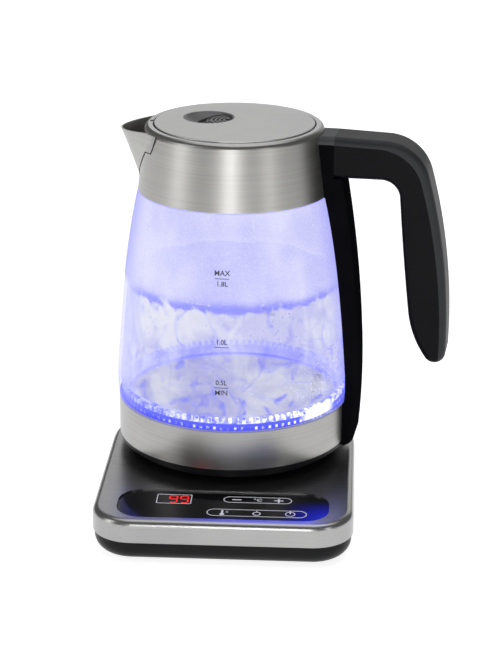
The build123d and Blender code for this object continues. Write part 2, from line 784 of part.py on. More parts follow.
with BuildPart() as lid_dish:
    with BuildSketch(level(dish_bottom)):
        with Locations((dish_x, dish_y)):
            Circle(dish_radius)
    extrude(amount=lid_height - 0.1 - dish_bottom)
    with Locations(level(0)):
        with Locations((dish_x, dish_y, lid_height - 0.1 - bowl_depth + bowl_radius)):
            Sphere(bowl_radius, mode=Mode.SUBTRACT)
    for step in range(pocket_steps + 1):
        moved = -catch_travel * step / pocket_steps
        extrude(pad_plan(fit_gap, moved, pad_bottom - fit_gap), amount=10, mode=Mode.SUBTRACT)
    with BuildSketch(level(dish_bottom)):
        with Locations((dish_x + 5, dish_y)):
            Rectangle(7 + catch_travel, 5.4)
    extrude(amount=5, mode=Mode.SUBTRACT)
save(lid_dish, "lid_dish")

stem_x = dish_x + 5 + catch_travel / 2
with BuildPart() as lid_slider:
    extrude(pad_plan(0, 0, pad_bottom), amount=pad_top - 0.9 - pad_bottom)
    for rib in range(5):
        with BuildSketch(level(pad_top - 0.9)):
            with Locations((dish_x, dish_y)):
                Circle(pad_clear - 0.8)
            with Locations((pad_left + pad_edge_radius, dish_y)):
                Circle(pad_edge_radius - 0.8, mode=Mode.INTERSECT)
            with Locations((dish_x + 13.5, dish_y)):
                Circle(4.3 + 2.7 * rib, mode=Mode.INTERSECT)
                Circle(3.0 + 2.7 * rib, mode=Mode.SUBTRACT)
        extrude(amount=0.9)
    with BuildSketch(level(bolt_top)):
        with Locations((stem_x, dish_y)):
            Rectangle(6, 4.6)
    extrude(amount=pad_bottom - bolt_top)
save(lid_slider, "lid_slider")

bolt_reach = 50.4
spring_start = 24.0
spring_end = 36.0
spring_level = 236.0
with BuildPart() as latch_bolt:
    with BuildSketch(level(bolt_bottom)):
        with Locations(((stem_x - 4 + bolt_reach) / 2, dish_y)):
            Rectangle(bolt_reach - stem_x + 4, bolt_width)
    extrude(amount=bolt_top - bolt_bottom)
    with BuildSketch(level(233.4)):
        with Locations((spring_end + 1, dish_y)):
            Rectangle(2, 6.4)
    extrude(amount=bolt_bottom - 233.4)
save(latch_bolt, "latch_bolt")

with BuildPart() as lid_inner_cover:
    with BuildSketch(level(wall_bottom - 2)):
        Circle(lid_wall_outer)
        with PolarLocations(boss_ring, 3, start_angle=60):
            Circle(1.4, mode=Mode.SUBTRACT)
    extrude(amount=2)
    fillet(lid_inner_cover.faces().sort_by(Axis.Z)[0].outer_wire().edges(), radius=1)
    with BuildSketch(level(wall_bottom)):
        with Locations((spring_start - 1, dish_y)):
            Rectangle(2, 7)
    extrude(amount=bolt_bottom - fit_gap - wall_bottom)
save(lid_inner_cover, "lid_inner_cover")

coil_radius = 2.1
coil_pitch = 2.1
spring_origin = level(0).from_local_coords((spring_start + 0.4, dish_y, spring_level))
with BuildPart() as latch_spring:
    with BuildLine():
        coil = Helix(
            coil_pitch, spring_end - spring_start - 0.8, coil_radius,
            center=spring_origin, direction=heading(jug_turn),
        )
    with BuildSketch(Plane(origin=coil @ 0, z_dir=coil % 0)):
        Circle(0.35)
    sweep()
save(latch_spring, "latch_spring")

with BuildPart() as lid_seal:
    with BuildSketch(upright()):
        with BuildLine():
            Polyline(
                (lid_wall_outer, 232.6), (50.2, 232.6), (52.1, 234.4), (52.1, 235.2), (50.2, 236.6),
                (lid_wall_outer, 236.6), close=True,
            )
        make_face()
    revolve(axis=Axis.Z)
save(lid_seal, "lid_seal")

with BuildPart() as lid_screws:
    with BuildSketch(level(wall_bottom - 3.2)):
        with PolarLocations(boss_ring, 3, start_angle=60):
            Circle(2.6)
    extrude(amount=1.2)
    with BuildSketch(level(wall_bottom - 2)):
        with PolarLocations(boss_ring, 3, start_angle=60):
            Circle(1.4)
    extrude(amount=10)
save(lid_screws, "lid_screws")
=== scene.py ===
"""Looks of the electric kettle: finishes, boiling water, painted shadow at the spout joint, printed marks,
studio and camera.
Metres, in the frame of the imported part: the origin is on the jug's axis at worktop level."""

import json
import math
import random

import bpy
from mathutils import Matrix, Vector


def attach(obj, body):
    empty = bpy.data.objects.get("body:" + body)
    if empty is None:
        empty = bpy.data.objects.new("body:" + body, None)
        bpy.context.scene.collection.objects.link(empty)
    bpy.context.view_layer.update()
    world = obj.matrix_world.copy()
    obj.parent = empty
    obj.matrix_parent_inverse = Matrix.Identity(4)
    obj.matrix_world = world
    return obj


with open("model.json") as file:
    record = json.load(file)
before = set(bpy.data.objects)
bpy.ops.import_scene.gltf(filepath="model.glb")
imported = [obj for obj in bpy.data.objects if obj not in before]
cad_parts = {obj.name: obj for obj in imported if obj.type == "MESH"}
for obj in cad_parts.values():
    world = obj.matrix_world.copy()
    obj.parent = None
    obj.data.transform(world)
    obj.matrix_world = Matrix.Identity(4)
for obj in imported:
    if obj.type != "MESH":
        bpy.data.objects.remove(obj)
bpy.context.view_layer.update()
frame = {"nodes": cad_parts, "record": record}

MM = 0.001
water_level = 148.5 * MM
water_floor = 64.6 * MM
crown_top = 74.4 * MM        # top of the light ring's teeth
crown_bore = 70.8 * MM       # water inside the light ring
wall_film = 0.5 * MM         # gap between the water and the glass
glass_bore = [               # the glass's inner wall: height and radius, mm
    (75, 75.2), (84, 75.0), (92, 74.6), (108, 73.5), (123, 72.1),
    (144, 69.9), (165, 67.4), (185, 64.2), (200, 61.2),
]
window_face = 29.4 * MM      # top of the control window
ink = 0.06 * MM              # thickness of the printed marks
tooth_count = 104
spout_heading = 173          # degrees from +X
flare_heading = -38          # where the light ring is brightest, degrees from +X


# ---------------------------------------------------------------- materials
class Value:
    """A shader socket that takes Python arithmetic: each operator adds a Math node."""

    def __init__(self, finish, socket):
        self.finish = finish
        self.socket = socket

    def math(self, operation, *others):
        inputs = dict(enumerate((self, *others)))
        return self.finish.node("ShaderNodeMath", {"operation": operation}, inputs)

    def __add__(self, other):
        return self.math("ADD", other)

    def __rsub__(self, other):
        return self * -1 + other

    def __mul__(self, other):
        return self.math("MULTIPLY", other)

    __radd__ = __add__
    __rmul__ = __mul__


class Finish:
    """One material with its Principled shader. Constants are set on the shader's own sockets."""

    def __init__(self, title, **constants):
        self.material = bpy.data.materials.new(title)
        self.material.use_nodes = True
        self.tree = self.material.node_tree
        self.shader = self.tree.nodes["Principled BSDF"]
        for name, value in constants.items():
            socket = name.replace("_", " ").title().replace("Ior", "IOR")
            self.shader.inputs[socket].default_value = value

    def node(self, kind, settings=None, inputs=None, output=0):
        made = self.tree.nodes.new(kind)
        for name, value in (settings or {}).items():
            setattr(made, name, value)
        for name, value in (inputs or {}).items():
            if isinstance(value, Value):
                self.tree.links.new(value.socket, made.inputs[name])
            else:
                made.inputs[name].default_value = value
        return Value(self, made.outputs[output])

    def feed(self, socket, value):
        self.tree.links.new(value.socket, self.shader.inputs[socket])

    def place(self):
        return self.node("ShaderNodeTexCoord", output="Object")

    def along(self, axis):
        return self.node("ShaderNodeSeparateXYZ", inputs={0: self.place()}, output=axis)

    def grain(self, stretch, detail=3.0, turn=0.0, swirl=0.0):
        """Noise on the piece's own coordinates, with its cells per metre along each axis."""
        moved = self.node(
            "ShaderNodeMapping",
            inputs={"Vector": self.place(), "Rotation": (0, 0, turn), "Scale": stretch},
        )
        return self.node("ShaderNodeTexNoise", inputs={
            "Vector": moved, "Scale": 1.0, "Detail": detail, "Distortion": swirl,
        })

    def fade(self, value, start, end):
        """0 before start, 1 after end and a smooth step between them."""
        return self.node(
            "ShaderNodeMapRange",
            {"interpolation_type": "SMOOTHSTEP"},
            {"Value": value, "From Min": start, "From Max": end},
        )

    def mix(self, mask, first, second):
        first, second = [c if isinstance(c, Value) else (*c, 1) for c in (first, second)]
        return self.node(
            "ShaderNodeMix", {"data_type": "RGBA"}, {0: mask, 6: first, 7: second}, output=2,
        )

    def bump(self, height, strength, distance=0.1 * MM):
        self.feed("Normal", self.node(
            "ShaderNodeBump",
            inputs={"Height": height, "Strength": strength, "Distance": distance},
            output="Normal",
        ))


def brushed_steel(name, stretch, dark, light, rough=0.27, turn=0.0, anisotropic=0.6):
    """Stainless steel with fine brush lines that run along the axis with the smallest stretch."""
    steel = Finish(name, metallic=1.0, anisotropic=anisotropic)
    lines = steel.grain(stretch, detail=4, turn=turn)
    drift = steel.grain((18, 18, 18), detail=2)
    steel.feed("Base Color", steel.mix(steel.fade(lines * 0.6 + drift * 0.4, 0.2, 0.8), dark, light))
    steel.feed("Roughness", lines * 0.1 + rough)
    steel.bump(lines, 0.05)
    return steel


def moulded(name, dark, light, rough, cells=1500, strength=0.18, **constants):
    """Moulded plastic or rubber with a fine spark-eroded grain."""
    plastic = Finish(name, **constants)
    pores = plastic.grain((cells,) * 3, detail=2)
    handling = plastic.grain((35,) * 3)
    plastic.feed("Base Color", plastic.mix(handling, dark, light))
    plastic.feed("Roughness", pores * 0.08 + handling * 0.1 + rough)
    plastic.bump(pores, strength)
    return plastic


def lit_guide():
    """Frosted light guide lit from below: white teeth over a blue ring with a row of white windows."""
    guide = Finish("lit_light_guide", roughness=0.35, emission_strength=1.5)
    across, forward, height = [guide.along(axis) for axis in ("X", "Y", "Z")]
    flare = math.radians(flare_heading)
    hot_side = across * math.cos(flare) + forward * math.sin(flare)
    hot = guide.fade(hot_side, 0.0718, 0.0738)
    lit_side = guide.fade(hot_side, -0.02, 0.066) * 0.75 + 0.25
    heading = forward.math("ARCTAN2", across)
    row = guide.fade((heading * tooth_count).math("SINE"), 0.1, 0.7)
    windows_top = guide.fade(height, 68.6 * MM, 69.4 * MM)
    low_row = row * guide.fade(height, 66.6 * MM, 67.4 * MM) * (1 - windows_top)
    teeth = guide.fade(height, 70.9 * MM, 71.5 * MM)
    sparkle = guide.grain((260, 260, 260), detail=2)
    white = (low_row + teeth) * guide.fade(sparkle, 0.38, 0.62) * lit_side + hot
    glow = guide.mix(white, (0.03, 0.04, 0.95), (0.8, 0.82, 1.0))
    guide.feed("Base Color", guide.mix(teeth, (0.03, 0.04, 0.3), (0.3, 0.32, 0.6)))
    guide.feed("Emission Color", glow)
    return guide


def misted_glass():
    """Clear glass, misted above the water by steam, with painted light: a painted blue glow from the ring at
    its foot and grazing edges, painted lavender light in the mist and painted glints on the drops.
    """
    glass = Finish("misted_glass", ior=1.5, emission_strength=1.0, specular_ior_level=0.35)
    height = glass.along("Z")
    edge = glass.node("ShaderNodeLayerWeight", inputs={"Blend": 0.42}, output="Facing")
    clouds = glass.grain((26, 26, 15), detail=4)
    beads = glass.grain((620, 620, 520), detail=2)
    mist = glass.fade(height + clouds * 8 * MM, water_level + 1 * MM, water_level + 10 * MM)
    # Masks for the foot and the grazing edges: both carry painted blue glow, and the edges are also less clear.
    foot = 1 - glass.fade(height, 72 * MM, 90 * MM)
    rim = glass.fade(edge, 0.3, 0.95)
    haze = mist * (glass.fade(clouds + beads * 0.5, 0.45, 0.95) * 0.25 + 0.55)
    glass.feed("Alpha", (haze + rim * 0.55 + 0.05).math("MINIMUM", 0.95))
    # Bright specks painted on the drops as glints, which also give the drops their bumps.
    specks = glass.node("ShaderNodeTexVoronoi", inputs={"Vector": glass.place(), "Scale": 820.0})
    drops_and_glints = (1 - glass.fade(specks, 0.12, 0.34)) * glass.fade(beads, 0.42, 0.6)
    # Painted light: the mist glows lavender, with white painted glints on the drops.
    painted_mist_glow = glass.mix(glass.fade(clouds, 0.35, 0.65), (0.53, 0.53, 0.87), (0.7, 0.7, 0.92))
    glow = glass.mix(drops_and_glints * 0.65, painted_mist_glow, (0.9, 0.9, 1.0))
    sides = glass.mix(rim, glow, (0.14, 0.15, 0.98))
    glass.feed("Emission Color", glass.mix(foot * 0.6, sides, (0.12, 0.14, 1.0)))
    glass.feed("Base Color", glass.mix(mist, (0.02, 0.02, 0.03), (0.06, 0.06, 0.08)))
    glass.feed("Roughness", mist * 0.3 + 0.04)
    glass.bump((beads + drops_and_glints) * mist, 0.6, 0.3 * MM)
    return glass


def boiling_water():
    """Water clouded by fine bubbles. Its glow is painted light: the bubble cloud painted as lit white-lavender,
    with painted blue streaks of light from the ring.
    """
    water = Finish("boiling_water", ior=1.33, emission_strength=0.95, specular_ior_level=0.4)
    height = water.along("Z")
    swirl = water.grain((32, 32, 26), detail=7, swirl=0.9)
    streak = water.grain((62, 62, 48), detail=8, turn=0.6, swirl=1.6)
    # Painted blue light from the ring: stronger in a band just under the surface and low down near the ring.
    skin_line = water.fade(height, water_level - 7 * MM, water_level - 2 * MM)
    depth = 1 - water.fade(height, 70 * MM, 118 * MM)
    blue = water.fade(streak + depth * 0.05 + skin_line * 0.3, 0.54, 0.76)
    # The bubble cloud painted as glowing white-lavender light.
    painted_cloud_glow = water.mix(water.fade(swirl, 0.36, 0.62), (0.36, 0.36, 0.74), (0.7, 0.72, 0.8))
    water.feed("Base Color", water.mix(blue, (0.07, 0.07, 0.08), (0.02, 0.02, 0.1)))
    water.feed("Emission Color", water.mix(blue * 0.8, painted_cloud_glow, (0.12, 0.13, 0.95)))
    water.feed("Alpha", swirl * 0.3 + blue * 0.2 + skin_line * 0.1 + 0.45)
    water.feed("Roughness", swirl * 0.3 + 0.05)
    water.bump(streak, 0.35, 0.6 * MM)
    return water


def lit_window():
    """Black control window, lit blue from its front edge and right end."""
    window = Finish("control_window", specular_ior_level=0.15, emission_strength=0.9)
    across = window.along("X")
    forward = window.along("Y") * -1
    smears = window.grain((60, 60, 60), detail=4)
    right_end = window.fade(across, 34 * MM, 66 * MM) * window.fade(forward, 95 * MM, 124 * MM)
    front_edge = window.fade(forward, 124.5 * MM, 129 * MM) * window.fade(across, -45 * MM, 25 * MM)
    lit = right_end * 0.55 + front_edge * 0.7
    window.feed("Emission Color", window.mix(lit, (0, 0, 0), (0.02, 0.03, 1.0)))
    window.feed("Base Color", window.mix(smears, (0.004, 0.004, 0.005), (0.012, 0.012, 0.014)))
    window.feed("Roughness", smears * 0.08 + 0.05)
    return window


def lit_deck():
    """The deck's brushed steel, with the window's blue light spilling in front of it."""
    deck = brushed_steel(
        "deck_steel", (9, 2400, 2400), (0.3, 0.3, 0.3), (0.4, 0.395, 0.385), rough=0.24, anisotropic=0.0,
    )
    deck.shader.inputs["Emission Strength"].default_value = 0.8
    forward = deck.along("Y") * -1
    across = deck.along("X")
    spill = deck.fade(forward, 126 * MM, 129.5 * MM) * (1 - deck.fade(forward, 130.5 * MM, 134.5 * MM))
    run = deck.fade(across, -48 * MM, 18 * MM) * (1 - deck.fade(across, 50 * MM, 70 * MM))
    deck.feed("Emission Color", deck.mix(spill * run * 0.6, (0, 0, 0), (0.05, 0.07, 1.0)))
    return deck


def lit_mark(name, colour, strength):
    """Printed or lit mark, a little uneven in its glow."""
    mark = Finish(name, roughness=0.4, emission_strength=strength)
    uneven = mark.grain((700,) * 3)
    dimmed = [channel * 0.8 for channel in colour]
    mark.feed("Emission Color", mark.mix(uneven, dimmed, colour))
    mark.feed("Base Color", mark.mix(uneven, dimmed, colour))
    return mark


turned = (12, 12, 2600)
finishes = {
    "brushed_steel": brushed_steel("turned_steel", turned, (0.3, 0.297, 0.285), (0.42, 0.414, 0.4)),
    "satin_rim": brushed_steel("rim_steel", turned, (0.5, 0.5, 0.5), (0.62, 0.62, 0.62), rough=0.3),
    "black_plastic": moulded(
        "black_plastic", (0.004, 0.004, 0.005), (0.01, 0.01, 0.011), 0.24, specular_ior_level=0.12,
    ),
    "spine_plastic": moulded(
        "spine_plastic", (0.013, 0.014, 0.016), (0.022, 0.023, 0.026), 0.42, specular_ior_level=0.3,
    ),
    "insert_plastic": moulded(
        "insert_plastic", (0.04, 0.042, 0.045), (0.06, 0.062, 0.068), 0.42, specular_ior_level=0.3,
    ),
    "gloss_black": moulded(
        "gloss_black", (0.002, 0.002, 0.003), (0.005, 0.005, 0.006), 0.2, strength=0.04,
        specular_ior_level=0.08,
    ),
    "inner_plastic": moulded("inner_plastic", (0.24, 0.24, 0.25), (0.34, 0.34, 0.35), 0.4),
    "dish_plastic": moulded("dish_plastic", (0.1, 0.1, 0.105), (0.17, 0.17, 0.175), 0.34),
    "silicone": moulded("silicone", (0.25, 0.25, 0.5), (0.36, 0.36, 0.62), 0.5),
    "feet_rubber": moulded("feet_rubber", (0.012, 0.012, 0.012), (0.03, 0.03, 0.03), 0.65),
    "board_green": moulded("board_green", (0.01, 0.11, 0.04), (0.02, 0.2, 0.08), 0.3, cells=600),
    "component_plastic": moulded(
        "component_plastic", (0.03, 0.03, 0.035), (0.08, 0.08, 0.09), 0.38, cells=600,
    ),
    "contact_brass": brushed_steel("contact_brass", (300, 300, 900), (0.55, 0.38, 0.14), (0.8, 0.6, 0.28)),
    "fastener_steel": brushed_steel(
        "fastener_steel", (600, 600, 600), (0.4, 0.4, 0.4), (0.7, 0.7, 0.7), rough=0.2,
    ),
    "heater_aluminium": brushed_steel(
        "heater_aluminium", (200, 200, 200), (0.5, 0.5, 0.51), (0.75, 0.75, 0.76), rough=0.4,
    ),
    "jug_glass": misted_glass(),
    "light_guide": lit_guide(),
}
# Painted light: the lid is the same stainless steel as the collar, given a lighter base colour for the light it
# reflects from above.
lid_lighter_steel = brushed_steel(
    "lid_steel_painted_light", (14, 2300, 2300), (0.5, 0.5, 0.5), (0.64, 0.636, 0.62), rough=0.36,
    turn=math.radians(7), anisotropic=0.0,
)
strap_black = moulded(
    "strap_black", (0.003, 0.003, 0.004), (0.007, 0.007, 0.008), 0.35, specular_ior_level=0.0,
)
own_finishes = {
    "base_top_cover": lit_deck(),
    "lid_plate": lid_lighter_steel,
    "control_window": lit_window(),
    "handle_strap": strap_black,
}


def dress(piece, finish):
    piece.data.materials.clear()
    piece.data.materials.append(finish.material)


for part in frame["record"]["subparts"]:
    node = part["node"]
    dress(frame["nodes"][node], own_finishes.get(node, finishes[part["material_slot"]]))


# ---------------------------------------------------------------- modelling helpers
def drop_selection():
    if bpy.context.mode != "OBJECT":
        bpy.ops.object.mode_set(mode="OBJECT")
    bpy.ops.object.select_all(action="DESELECT")


def settle(name, angle=30):
    """Leave edit mode, move the piece's place into its mesh, and name it."""
    if bpy.context.mode != "OBJECT":
        bpy.ops.object.mode_set(mode="OBJECT")
    piece = bpy.context.object
    piece.name = piece.data.name = name
    bpy.ops.object.transform_apply(location=True, rotation=True, scale=True)
    bpy.ops.object.shade_smooth_by_angle(angle=math.radians(angle))
    return piece


def joined(name, parts):
    drop_selection()
    for part in parts:
        part.select_set(True)
    bpy.context.view_layer.objects.active = parts[0]
    bpy.ops.object.join()
    return settle(name)


def apply_modifiers(piece):
    drop_selection()
    piece.select_set(True)
    bpy.context.view_layer.objects.active = piece
    for modifier in [m.name for m in piece.modifiers]:
        bpy.ops.object.modifier_apply(modifier=modifier)


def drawn_up(name, profile, around):
    """A closed form of rings about the jug's axis, one for each radius and height."""
    drop_selection()
    radius, height = profile[0]
    bpy.ops.mesh.primitive_circle_add(
        vertices=around, radius=radius, location=(0, 0, height), fill_type="NGON",
    )
    bpy.ops.object.mode_set(mode="EDIT")
    bpy.ops.mesh.select_all(action="SELECT")
    for next_radius, next_height in profile[1:]:
        bpy.ops.mesh.extrude_region_move(TRANSFORM_OT_translate={"value": (0, 0, next_height - height)})
        scale = next_radius / radius
        bpy.ops.transform.resize(value=(scale, scale, 1), center_override=(0, 0, next_height))
        radius, height = next_radius, next_height
    bpy.ops.mesh.select_all(action="SELECT")
    bpy.ops.mesh.normals_make_consistent(inside=False)
    return settle(name, angle=60)


def bore_radius(height):
    """Inner radius of the glass at a height."""
    rows = [(z * MM, r * MM) for z, r in glass_bore]
    for (low, first), (high, second) in zip(rows, rows[1:]):
        if height <= high:
            return first + (second - first) * max(0, height - low) / (high - low)
    return rows[-1][1]


def strewn(name, seed_form, places):
    """Copies of one small form, each with its own mesh, joined into one piece."""
    copies = []
    for place in places:
        copy = bpy.data.objects.new(name, seed_form.data.copy())
        copy.data.transform(place)
        bpy.context.collection.objects.link(copy)
        copies.append(copy)
    bpy.data.objects.remove(seed_form)
    return joined(name, copies)


def bead(name, flat):
    """A small round bead, flattened on the side that lies on the wall."""
    drop_selection()
    bpy.ops.mesh.primitive_ico_sphere_add(subdivisions=2, radius=1)
    bpy.ops.object.mode_set(mode="EDIT")
    bpy.ops.mesh.select_all(action="SELECT")
    bpy.ops.transform.resize(value=(flat, 1, 1.08))
    return settle(name, angle=80)


def on_wall(heading, height, inset, size):
    """Where a bead of a size sits on the glass's inner wall."""
    reach = bore_radius(height) - inset
    return (
        Matrix.Rotation(heading, 4, "Z")
        @ Matrix.Translation((reach, 0, height))
        @ Matrix.Scale(size, 4)
    )


# ---------------------------------------------------------------- water, bubbles and steam
def pour_water():
    """The water inside the glass: its foot in the light ring, its wall and its choppy surface."""
    sides, surface_rings = 144, 22
    wall = [(bore_radius(z * MM) - wall_film, z * MM) for z in range(78, 147, 4)]
    brim = bore_radius(water_level) - wall_film
    surface = [(brim * step / surface_rings, water_level) for step in range(surface_rings, 0, -1)]
    foot = [(crown_bore, water_floor), (crown_bore, crown_top + 0.6 * MM)]
    water = drawn_up("water", foot + wall + surface, sides)
    choppy = water.vertex_groups.new(name="surface")
    on_top = [v.index for v in water.data.vertices if v.co.z > water_level - 0.1 * MM]
    choppy.add(on_top, 1.0, "REPLACE")
    for size, height in ((0.016, 5.2), (0.006, 2.2)):
        swell = bpy.data.textures.new("swell", "CLOUDS")
        swell.noise_scale = size
        chop = water.modifiers.new("chop", "DISPLACE")
        chop.texture = swell
        chop.texture_coords = "LOCAL"
        chop.direction = "Z"
        chop.strength = height * MM
        chop.vertex_group = choppy.name
    apply_modifiers(water)
    return water


def rising_bubbles(draw):
    """Bubbles under the surface, over the brightest side of the ring, and all through the water."""
    under_surface, over_flare, all_through = 230, 260, 170
    places = []
    for _ in range(under_surface):
        heading = draw.uniform(0, 2 * math.pi)
        height = water_level - draw.uniform(0.2, 3.2) * MM
        places.append(on_wall(heading, height, draw.uniform(1.6, 5) * MM, draw.uniform(0.4, 1.3) * MM))
    for _ in range(over_flare):
        heading = math.radians(draw.gauss(flare_heading, 16))
        height = (80 + abs(draw.gauss(0, 11))) * MM
        places.append(on_wall(heading, height, draw.uniform(1.4, 9) * MM, draw.uniform(0.22, 0.6) * MM))
    for _ in range(all_through):
        heading = draw.uniform(0, 2 * math.pi)
        height = draw.uniform(80, 140) * MM
        places.append(on_wall(heading, height, draw.uniform(1.4, 26) * MM, draw.uniform(0.25, 0.7) * MM))
    return strewn("water_bubbles", bead("bubble", 1.0), places)


def steam_drops(draw):
    """Drops on the glass above the water, closer together lower down."""
    drop_count, lowest, spread = 780, 7, 47
    places = []
    for _ in range(drop_count):
        height = (water_level / MM + lowest + draw.random() ** 1.2 * spread) * MM
        heading = draw.uniform(0, 2 * math.pi)
        places.append(on_wall(heading, height, 0.1 * MM, draw.uniform(0.22, 0.62) * MM))
    return strewn("condensation_drops", bead("drop", 0.45), places)


# ---------------------------------------------------------------- spout joint shadow
def spout_joint_shadow():
    """A fine dark bead, painted shadow in the joint between the spout and the collar. At each level it starts
    wide of the beak, goes round the collar's cone towards it and stops where it touches."""
    beak = frame["nodes"]["spout"]
    collar_foot, collar_rise = 207, 38.5         # the cone's lower edge and height, mm
    collar_reach, collar_draw_in = 62.5, 4.6     # its radius at the foot, and how much narrower its top is
    joint_foot, joint_rise, steps = 211.5, 34, 30
    first_spread, last_spread, turn = 50.0, 0.5, 0.15   # degrees from the spout's heading
    touching = 0.3 * MM
    path = bpy.data.curves.new("spout_joint_shadow", "CURVE")
    path.dimensions = "3D"
    path.bevel_depth = 0.32 * MM
    path.bevel_resolution = 2
    path.use_fill_caps = True
    levels = [joint_foot + joint_rise * step / steps for step in range(steps + 1)]
    for side in (-1, 1):
        run = []
        for level in levels:
            reach = (collar_reach - collar_draw_in * (level - collar_foot) / collar_rise) * MM
            spread, gap = first_spread, 1.0
            while gap > touching and spread > last_spread:
                spread -= turn
                heading = math.radians(spout_heading + side * spread)
                point = Vector((math.cos(heading) * reach, math.sin(heading) * reach, level * MM))
                gap = (beak.closest_point_on_mesh(point)[1] - point).length
            run.append(point)
        line = path.splines.new("POLY")
        line.points.add(len(run) - 1)
        for knot, point in zip(line.points, run):
            knot.co = (*point, 1)
    joint = bpy.data.objects.new("spout_joint_shadow", path)
    bpy.context.collection.objects.link(joint)
    drop_selection()
    joint.select_set(True)
    bpy.context.view_layer.objects.active = joint
    bpy.ops.object.convert(target="MESH")
    return settle("spout_joint_shadow", angle=60)


# ---------------------------------------------------------------- printed marks
def lettering(text, size):
    """Words as a thin upright mesh that faces -Y, centred on its own origin."""
    drop_selection()
    bpy.ops.object.text_add()
    words = bpy.context.object
    words.data.body = text
    words.data.size = size
    words.data.offset = 0.06 * MM  # heavier strokes
    words.data.align_x = "CENTER"
    words.data.align_y = "CENTER"
    bpy.ops.object.convert(target="MESH")
    return bpy.context.object


def slab(centre, size, corner=0.0):
    """A thin printed bar with rounded ends, lying flat."""
    drop_selection()
    bpy.ops.mesh.primitive_plane_add(size=1, location=(*centre, 0))
    bpy.ops.object.mode_set(mode="EDIT")
    bpy.ops.mesh.select_all(action="SELECT")
    bpy.ops.transform.resize(value=(*size, 1), center_override=(*centre, 0))
    bpy.ops.mesh.bevel(offset=corner or min(size) * 0.45, segments=6, affect="VERTICES")
    return settle("bar")


def level_line(width, line):
    """A thin level line in short lengths, so that it can follow the round of the glass."""
    drop_selection()
    bpy.ops.mesh.primitive_grid_add(x_subdivisions=14, y_subdivisions=1, size=1)
    bpy.ops.object.mode_set(mode="EDIT")
    bpy.ops.mesh.select_all(action="SELECT")
    bpy.ops.transform.resize(value=(width, line, 1))
    return settle("level_line")


def hollowed(shape, line):
    """Keep only a line of a width round a flat shape's edge."""
    bpy.ops.object.mode_set(mode="EDIT")
    bpy.ops.mesh.select_all(action="SELECT")
    bpy.ops.mesh.inset(thickness=line)
    bpy.ops.mesh.delete(type="FACE")
    bpy.ops.object.mode_set(mode="OBJECT")
    return shape


def disc(centre, radius, point=0.0):
    """A flat disc; point draws its far side out into a drop."""
    drop_selection()
    bpy.ops.mesh.primitive_circle_add(
        vertices=32, radius=radius, location=(*centre, 0), fill_type="NGON",
    )
    shape = bpy.context.object
    far = max(shape.data.vertices, key=lambda v: v.co.y).index
    bpy.ops.object.mode_set(mode="EDIT")
    bpy.ops.mesh.select_mode(type="VERT")
    bpy.ops.mesh.select_all(action="DESELECT")
    bpy.ops.object.mode_set(mode="OBJECT")
    shape.data.vertices[far].select = True
    bpy.ops.object.mode_set(mode="EDIT")
    bpy.ops.transform.translate(value=(0, point, 0))
    return settle("disc")


def printed(name, parts, height):
    """Join flat marks, raise them to a height and give them the thickness of ink."""
    marks = joined(name, parts)
    marks.data.transform(Matrix.Translation((0, 0, height)))
    thick = marks.modifiers.new("ink", "SOLIDIFY")
    thick.thickness = ink
    thick.offset = 1
    apply_modifiers(marks)
    return marks


def wrap_on_glass(name, parts, facing):
    """Press upright marks onto the glass's outer face, in front or behind, and give them thickness."""
    marks = joined(name, parts)
    press = marks.modifiers.new("press", "SHRINKWRAP")
    press.target = frame["nodes"]["glass_jug"]
    press.wrap_method = "PROJECT"
    press.use_project_x = False
    press.use_project_y = True
    press.use_project_z = False
    press.use_negative_direction = facing > 0
    press.use_positive_direction = facing < 0
    press.offset = ink
    thick = marks.modifiers.new("ink", "SOLIDIFY")
    thick.thickness = ink
    thick.offset = 1
    apply_modifiers(marks)
    return marks


level_rows = [
    (166.9, [("MAX", 3.4, 4.6), ("1.8L", -3.4, 4.2)]),
    (123.2, [("1.0L", 3.2, 4.2)]),
    (96.8, [("0.5L", 3.2, 4.2), ("MIN", -3.4, 4.6)]),
]


def level_scale(name, across, facing):
    """The litre marks. facing is -1 on the front of the glass and 1 on its back."""
    line_width, line_height = 9 * MM, 0.4 * MM
    clear_of_glass = 88 * MM
    parts = []
    stand = Matrix.Rotation(math.radians(90), 4, "X")
    turn = stand if facing < 0 else Matrix.Rotation(math.pi, 4, "Z") @ stand
    for height, words in level_rows:
        rows = [(level_line(line_width, line_height), 0)]
        for text, rise, size in words:
            rows.append((lettering(text, size * MM), rise * MM))
        for part, rise in rows:
            place = Matrix.Translation((across, facing * clear_of_glass, height * MM + rise))
            part.data.transform(place @ turn)
            parts.append(part)
    return wrap_on_glass(name, parts, facing)


